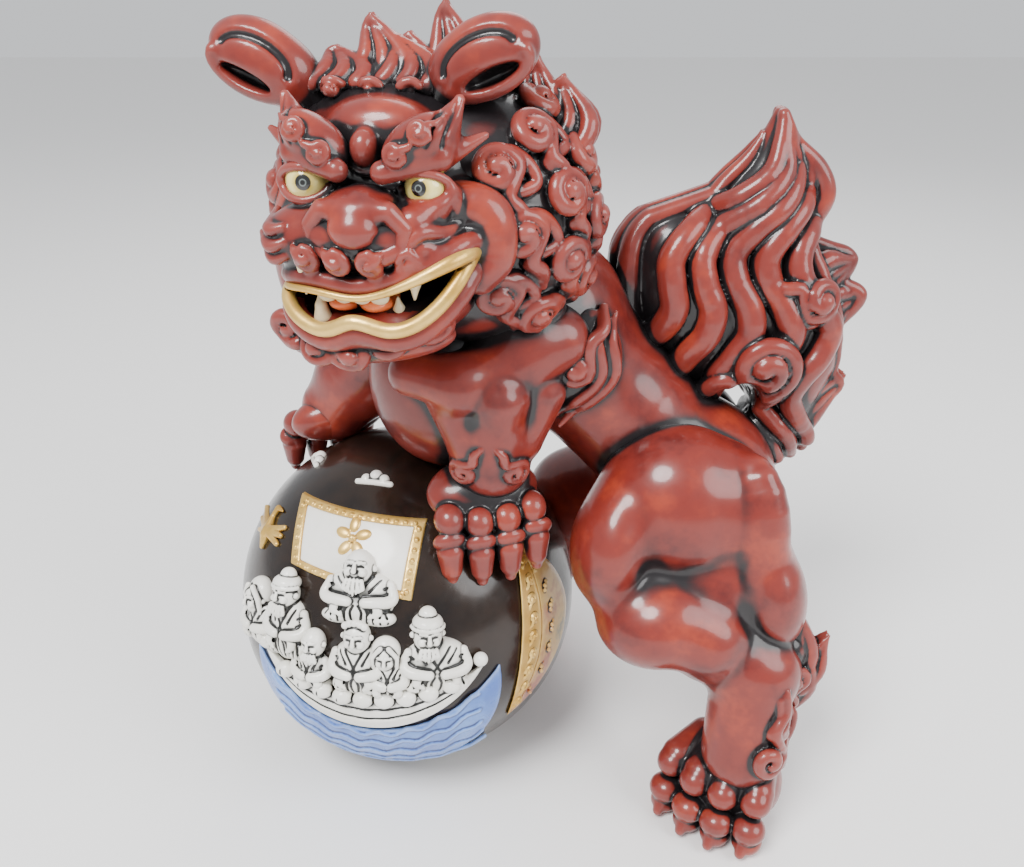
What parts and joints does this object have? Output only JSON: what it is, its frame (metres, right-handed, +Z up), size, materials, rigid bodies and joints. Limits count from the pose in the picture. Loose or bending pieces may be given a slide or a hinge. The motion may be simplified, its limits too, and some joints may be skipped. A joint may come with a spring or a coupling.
{
  "type": "guardian lion statue",
  "caption": "Glazed stoneware guardian lion that stands with its forepaws on a decorated treasure ball.",
  "frame": {"origin": "bottom centre of the bounding box, on the surface that the statue stands on", "axes": "+Z up; -Y towards the viewer that the lion faces; +X from the ball to the hindquarters and tail"},
  "size_m": [0.405, 0.2762, 0.498],
  "materials": {
    "lion_glaze": "gloss, dark in the recesses",
    "ball_glaze": "gloss, brown black",
    "white_glaze": "gloss, with dark lines in the recesses",
    "gilding": "gilt over glaze",
    "blue_glaze": "gloss",
    "brocade_glaze": "gloss, patterned",
    "orange_glaze": "gloss",
    "tooth_glaze": "gloss",
    "eye_glaze": "gloss, painted pupil"
  },
  "bodies": {
    "root": {"ball_shell": "ball_glaze", "sail_panel": "white_glaze", "sail_frame": "gilding", "sail_emblem": "gilding", "ship_hull": "white_glaze", "figure_1": "white_glaze", "figure_2": "white_glaze", "figure_3": "white_glaze", "figure_4": "white_glaze", "figure_5": "white_glaze", "figure_6": "white_glaze", "figure_7": "white_glaze", "wave_band": "blue_glaze", "crane_sprig": "gilding", "cloud_sprig_1": "white_glaze", "cloud_sprig_2": "white_glaze", "scroll_border": "gilding", "brocade_panel": "brocade_glaze", "torso_shell": "lion_glaze", "forepaw_left": "lion_glaze", "forepaw_right": "lion_glaze", "foreleg_left": "lion_glaze", "foreleg_right": "lion_glaze", "hind_paw_left": "lion_glaze", "hind_paw_right": "lion_glaze", "hind_leg_left": "lion_glaze", "hind_leg_right": "lion_glaze", "hock_flame_left": "lion_glaze", "hock_flame_right": "lion_glaze", "tail": "lion_glaze", "head_shell": "lion_glaze", "nose": "lion_glaze", "lower_jaw": "lion_glaze", "lip_trim": "gilding", "upper_teeth": "tooth_glaze", "upper_fang_left": "tooth_glaze", "upper_fang_right": "tooth_glaze", "lower_fang_left": "tooth_glaze", "lower_fang_right": "tooth_glaze", "tongue": "orange_glaze", "eye_right": "eye_glaze", "eye_left": "eye_glaze", "brow_right": "lion_glaze", "ear_right": "lion_glaze", "brow_left": "lion_glaze", "ear_left": "lion_glaze", "crest_middle": "lion_glaze", "crest_right": "lion_glaze", "crest_left": "lion_glaze", "mane_back": "lion_glaze", "mane_left": "lion_glaze", "mane_right": "lion_glaze", "beard_locks": "lion_glaze", "shoulder_lock_left": "lion_glaze", "shoulder_lock_right": "lion_glaze"}
  },
  "joints": []
}
